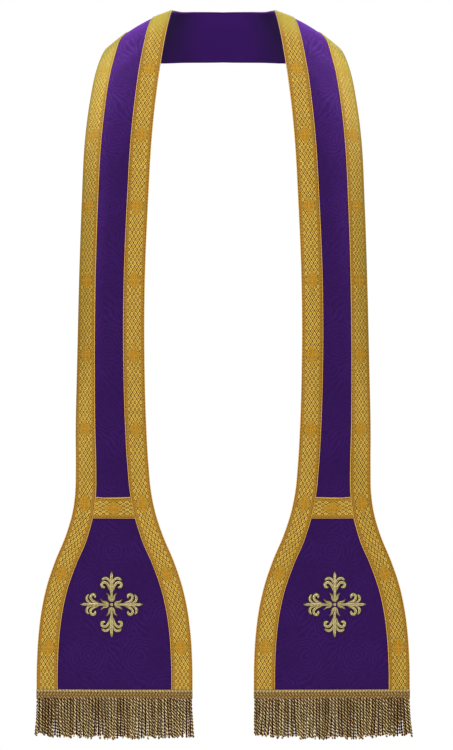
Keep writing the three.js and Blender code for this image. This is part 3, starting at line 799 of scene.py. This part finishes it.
# painted shade: each stroke darkens towards its edges where it turns down to the cloth, and the cord is dark
# all over
outlineMark = addNode("MapRange", {0: edgeness, 1: 0.55, 2: 0.88}, "SMOOTHSTEP")
threadColour = addNode("Mix", {0: outlineMark, 6: threadColour, 7: linear(embroidery["outline"])}, "RGBA")
threadBump = addNode("Bump", {"Height": threadWave, "Strength": 0.5, "Distance": 0.0002})
feedShader(shader, Base_Color=threadColour, Normal=threadBump)


def catmull(points, count):
    # even steps along a curve through the points, each span a uniform Catmull-Rom cubic
    points = np.asarray(points, float)
    padded = np.vstack([2 * points[0] - points[1], points, 2 * points[-1] - points[-2]])
    at = np.linspace(0, len(points) - 1 - 1e-9, count)
    k = at.astype(int)
    t = (at - k)[:, None]
    a, b, c, d = (padded[k + n] for n in range(4))
    square, cube = 2 * a - 5 * b + 4 * c - d, 3 * b - a - 3 * c + d
    return 0.5 * (2 * b + (c - a) * t + square * t ** 2 + cube * t ** 3)


def crossPlace(flat, lift, hand):
    # flat cross coordinates, x to +X and y up, laid on the spade at a lift over the face
    along = embroidery["along"] - flat[..., 1]
    share = (flat[..., 0] * sides[hand] + embroidery["out"]) * 2 / widthAt(along)
    return liftedPoint(along, share, lift, hand)


def strokePart(stroke, hand, quarter, reach, grown):
    # a stroke is its spine widened by its half width; its height over the face is
    # base + crown * sqrt(1 - t^2) across, so both edges turn down to the cloth.
    # Grown, it is the low cord that shows all round the stroke, dark partly as its own thread and partly as
    # painted shade round the stroke.
    columns = embroidery["columns"] // 2 if grown else embroidery["columns"]
    line = catmull(stroke, embroidery["lengthSteps"] // (2 if grown else 1) * (len(stroke) - 1) + 1)
    spine, half = line[:, :2], np.maximum(line[:, 2], 0.25) + (embroidery["cord"] if grown else 0)
    ahead = unit(np.gradient(spine, axis=0))
    normal = np.stack([-ahead[:, 1], ahead[:, 0]], -1)
    t = np.sin(np.linspace(-np.pi / 2, np.pi / 2, columns + 1))[None, :]
    steps = np.arange(len(half))
    taper = np.clip(np.minimum(steps, steps[::-1]) / 2.5, 0, 1)[:, None] ** 0.5
    flat = (spine[:, None] + normal[:, None] * (half[:, None] * t)[..., None]) * np.array([1, reach])
    c, s = math.cos(-quarter * math.pi / 2), math.sin(-quarter * math.pi / 2)
    flat = np.stack([flat[..., 0] * c - flat[..., 1] * s, flat[..., 0] * s + flat[..., 1] * c], -1)
    dome = np.sqrt(np.clip(1 - t ** 2, 0, 1)) * taper
    low = embroidery["height"] * 0.45
    rise = embroidery["height"] * 0.55 + embroidery["crown"] * np.minimum(half[:, None] / 3, 1)
    if grown:
        low, rise = 0.1, embroidery["cordHeight"]
    front = crossPlace(flat, band["gap"] + low + rise * dome, hand)
    back = crossPlace(flat, band["gap"], hand)
    length = np.concatenate([[0], np.cumsum(np.linalg.norm(np.diff(spine, axis=0), axis=1))])
    uv = stacked(half[:, None] * t + quarter * 40, length[:, None])
    # +X on the right half runs with share, so the shell already faces out there
    faces = shellFaces(len(spine), columns + 1, columns + 1, False)
    # the edge mark runs from 0 at a stroke's crown to 1 at its edges, where the colour takes painted shade;
    # on the cord it is 1 all over
    edgeMark = np.broadcast_to(np.ones_like(t) if grown else np.abs(t), flat.shape[:2])
    points = np.concatenate([front.reshape(-1, 3), back.reshape(-1, 3)])
    mark = np.concatenate([edgeMark.ravel(), np.ones(edgeMark.size)])
    return points, np.tile(uv.reshape(-1, 2), (2, 1)), mark, faces


for hand in sides:
    parts = []
    for quarter, reach in enumerate(embroidery["armReach"]):
        for twin, stroke in armStrokes:
            for mirror, grown in [(1, False), (1, True)] + ([(-1, False), (-1, True)] if twin else []):
                turned = [(side * mirror, rise, width) for side, rise, width in stroke]
                parts.append(strokePart(turned, hand, quarter, reach, grown))
    # the bead at the middle: rings of a low dome, closed by one face at its crown and one under it
    rings, corners = embroidery["beadRings"], embroidery["beadCorners"]
    turn = np.linspace(0, tau, corners, endpoint=False)[None, :]
    rise = np.linspace(0, np.pi / 2 * 0.97, rings)[:, None]
    radius = embroidery["bead"] * np.cos(rise)
    flat = stacked(radius * np.cos(turn), radius * np.sin(turn))
    beadLift = band["gap"] + np.where(rise == 0, 0, 0.6) + (embroidery["height"] + 0.3) * np.sin(rise) * 0.8
    bead = crossPlace(flat, beadLift + 0 * turn, hand)
    # the bead's foot is painted dark, a painted shade where it meets the cloth
    beadShadeMark = np.broadcast_to(np.cos(rise) ** 2 * 0.9, flat.shape[:2]).ravel()
    parts.append((bead.reshape(-1, 3), flat.reshape(-1, 2), beadShadeMark, tubeFaces(1, rings, corners, True)))
    points, faces, uv, mark = joinParts(parts)
    piece = meshPiece(f"gold_cross_{hand}", points, faces, threadMaterial, uv, {"edge": mark}, 60)
    finishPiece(piece, f"embroidered_cross_{hand}")
print("embroidered crosses ready")

# Bullion fringe of twisted antique gold cord. Two metal-wrapped plies wind round each other; each ridge is
# given a painted highlight and each groove between the plies a nearly black brown painted shade.
fringe = {
    "count": 50, "drop": 61, "unevenness": 3.2, "root": 1.6, "lift": 1.7, "plyRadius": 0.99, "waist": 0.14,
    # real cords are 1.5 mm thick with a turn in 4 mm; drawn thicker and slacker so that the twist shows
    "twist": 9.8, "twistScatter": 0.08, "twistWobble": 0.6,
    "wirePitch": 0.7,  # real wrapping wire is 0.1 mm; drawn coarser so that it shows
    "strandScale": 0.45, "coreScale": 0.35,  # one over the size in mm of a dull and of a thin place
    # front rank, back rank
    "sections": (56, 48), "corners": (12, 8), "depths": (-1.2, 2.2), "depthScatter": 0.8,
    # how far the tips gather, in two waves and at random, sway, and flare at the fringe's ends
    "broadLock": 1.9, "longLock": 1.1, "stray": 0.6, "sway": 0.35, "endFlare": 3.4, "tipStart": 0.965,
    # the groove colour and the behind share give painted shade; pale is the painted highlight on the crowns
    "pale": "#e4d09a", "deep": "#877440", "grooveShade": "#54260c", "core": "#7c3c16", "behindShade": 0.35,
    "tall": 13, "headingRows": 21, "headingColumns": 301, "headingLift": 2.6, "headingRelief": 0.8,
    "chevron": 4.8, "rowTall": 4.4, "scallop": 1.3, "loopPitch": 4.8,
}
bullionMaterial, tree, shader = newMaterial(
    "twisted gold bullion cord", Metallic=0.5, Roughness=0.32, Specular_IOR_Level=0.15)
cutPlace = addNode("UVMap", uv_map="cut")
ridgeLightAndTone = addNode("Attribute", attribute_name="ridgeLightAndTone").outputs["Fac"]
# the ridge mark gives painted shade in the grooves and a painted highlight on the crowns, over a random
# strand tone
strandTone = addNode("TexNoise", {"Vector": cutPlace, "Scale": fringe["strandScale"], "Detail": 3})
toneAndRidgeLight = addNode("Math", {0: strandTone, 1: 0.6, 2: ridgeLightAndTone}, "MULTIPLY_ADD")
toneAndRidgeLight = addNode("Math", {0: toneAndRidgeLight, 1: 0.6}, "MULTIPLY")
bullionColour = addNode("ValToRGB", {0: toneAndRidgeLight}, stops=[(0.52, fringe["grooveShade"]), (0.62, fringe["deep"])])
# painted highlight: the crowns turn pale
crown = addNode("MapRange", {0: toneAndRidgeLight, 1: 0.64, 2: 0.78})
bullionColour = addNode("Mix", {0: crown, 6: bullionColour, 7: linear(fringe["pale"])}, "RGBA")
# here and there a cord's wrapping is thin and lets its red-brown core through
thinness = addNode("TexNoise", {"Vector": cutPlace, "Scale": fringe["coreScale"], "Detail": 2})
coreMark = addNode("MapRange", {0: thinness, 1: 0.54, 2: 0.64, 4: 0.55})
onCord = addNode("Attribute", attribute_name="core").outputs["Fac"]
coreMark = addNode("Math", {0: coreMark, 1: onCord}, "MULTIPLY")
bullionColour = addNode("Mix", {0: coreMark, 6: bullionColour, 7: linear(fringe["core"])}, "RGBA")
wire = addNode("TexWave", {
    "Vector": cutPlace, "Scale": waveScale(fringe["wirePitch"]), "Distortion": 0.5},
    "DIAGONAL").outputs["Fac"]
wireBump = addNode("Bump", {"Height": wire, "Strength": 0.4, "Distance": 0.00015})
feedShader(shader, Base_Color=bullionColour, Normal=wireBump)


def uneven(k, seed):
    # a repeatable scatter between -1 and 1: the decimals of a sine blown up far past one
    return np.sin(12.9898 * k + 78.233 * seed) * 43758.5453 % 1 * 2 - 1


def cordPart(hand, rank):
    # a two-ply cord: two circles that touch, radius = 2 ply radius * sqrt(cos(angle)^2 + waist^2), turned by
    # tau per twist on its way down; the tips gather into locks and those at the fringe's ends flare out
    k = np.arange(fringe["count"], dtype=float)[:, None, None]
    step = np.linspace(0, 1, fringe["sections"][rank] + 1)[None, :, None]
    corner = np.arange(fringe["corners"][rank])[None, None, :] / fringe["corners"][rank] * tau
    place = k + 0.5 * rank
    share = np.clip(2 * (place + 0.5) / fringe["count"] - 1, -0.985, 0.985)
    seed = {"left": 1.7, "right": 2.9}[hand]
    root = liftedPoint(band["headingTop"] + fringe["tall"] - fringe["root"], share, fringe["lift"], hand)
    drop = fringe["drop"] + fringe["unevenness"] * (uneven(k, seed + rank) - 1.2 * share ** 2)
    lock = fringe["broadLock"] * np.sin(place * 0.9 + seed * 3)
    lock = lock + fringe["longLock"] * np.sin(place * 0.37 + seed)
    lock = lock + fringe["stray"] * uneven(k, 3 + rank + seed)
    sway = fringe["sway"] * np.sin(step * 9 + k * 2.3) * step
    flare = fringe["endFlare"] * np.sign(share) * np.abs(share) ** 9 * step ** 1.6
    lean = lock * step ** 1.8 + sway + flare
    settle = np.clip(step / 0.14, 0, 1)
    settle = settle * settle * (3 - 2 * settle)
    depth = fringe["depths"][rank] * settle + fringe["depthScatter"] * uneven(k, 5 + rank) * step
    # no cord is twisted quite like its neighbour, nor evenly all the way down
    wind = fringe["twist"] * (1 + fringe["twistScatter"] * uneven(k, 11 + rank))
    wobble = fringe["twistWobble"] * np.sin(step * 11 + k * 1.7)
    turn = corner + step * drop / wind * tau + math.pi * uneven(k, 9 + rank) + wobble
    pastTip = np.clip(1 - ((step - fringe["tipStart"]) / 0.036) ** 2, 0.02, 1)
    close = np.where(step > fringe["tipStart"], np.sqrt(pastTip), 1)
    lobe = np.sqrt(np.cos(corner) ** 2 + fringe["waist"] ** 2)
    radius = 2 * fringe["plyRadius"] * lobe * close
    x = root[..., 0] + lean * sides[hand] + radius * np.cos(turn)
    y = root[..., 1] + depth + radius * np.sin(turn)
    z = root[..., 2] - step * drop + 0 * turn
    uv = stacked(corner * 2 + k * 5, step * drop)
    # between the two ranks the cords lie in each other's shade: their inner sides are painted darker as a
    # painted shade, and each cord's tone differs a little at random
    inner = np.clip(0.6 - np.sin(turn), 0, 1) if rank else 0
    shade = (1 - (1 - fringe["behindShade"]) * inner) * (1 + 0.12 * uneven(k, 7 + rank))
    faces = tubeFaces(fringe["count"], fringe["sections"][rank] + 1, fringe["corners"][rank], False)
    ridgeLightAndToneValues = np.broadcast_to(lobe * shade, x.shape).ravel()
    return stacked(x, y, z).reshape(-1, 3), uv.reshape(-1, 2), ridgeLightAndToneValues, faces


def headingHeight(across, fall):
    # herringbone rows of slanted ridges, 0.5 + 0.5 cos(tau (across / pitch +- fall / row)), each row leaning
    # the other way, broken up by knots and softened at the groove between two rows
    row = fall / fringe["rowTall"]
    lean = np.where(np.floor(row).astype(int) % 2 == 0, 1, -1)
    slant = 0.5 + 0.5 * np.cos(tau * (across / fringe["chevron"] + lean * row * 0.6))
    sideways = np.sin(across * 2.3 + 3 * np.sin(fall * 1.3 + across * 0.13))
    knots = 0.5 + 0.5 * sideways * np.sin(fall * 2.1 + 2 * np.sin(across * 0.73))
    return (0.6 * slant + 0.4 * knots) * (0.4 + 0.6 * np.abs(np.sin(np.pi * row)) ** 0.5)


for hand in sides:
    points, faces, uv, ridgeLightAndToneValues = joinParts([cordPart(hand, rank) for rank in (0, 1)])
    marks = {"ridgeLightAndTone": ridgeLightAndToneValues, "core": np.ones(len(points))}
    cords = meshPiece(f"bullion_cords_{hand}", points, faces, bullionMaterial, uv, marks, 80)
    finishPiece(cords, f"fringe_{hand}")
    # the heading braid, its top edge rising in small loops by scallop * (|sin| - 0.5)
    shares = spread(fringe["headingColumns"])
    rows = np.linspace(0, 1, fringe["headingRows"])[:, None]
    across = shares * widthAt(float(band["hem"])) / 2
    fall = fringe["tall"] * rows + 0 * across
    loops = fringe["scallop"] * (np.abs(np.sin(np.pi * across / fringe["loopPitch"])) - 0.5)
    alongs = band["headingTop"] + fall - loops * (1 - rows) ** 4
    height = headingHeight(across + 0 * rows, fall)
    edgeFall = 0.6 * np.clip(1 - fall / 0.8, 0, 1) ** 2
    lift = fringe["headingLift"] + fringe["headingRelief"] * (height - 0.5) - edgeFall
    front = liftedPoint(alongs, shares, lift, hand)
    back = liftedPoint(alongs, shares, band["gap"], hand)
    uv = 2.5 * np.stack([across + 0 * rows, fall], -1)
    # the ridge mark paints the heading paler on its raised ridges and darker in its hollows, painted light
    # and shade, and paler along its top rows
    marks = {"ridgeLightAndTone": 0.48 + 0.4 * height + 0.2 * (1 - rows) ** 6}
    heading = addShell(f"bullion_heading_{hand}", front, back, uv, bullionMaterial, hand, marks)
    flat = (band["hemWidth"] * mm, fringe["tall"] * mm)
    finishPiece(heading, f"fringe_{hand}")
print("bullion fringes ready")
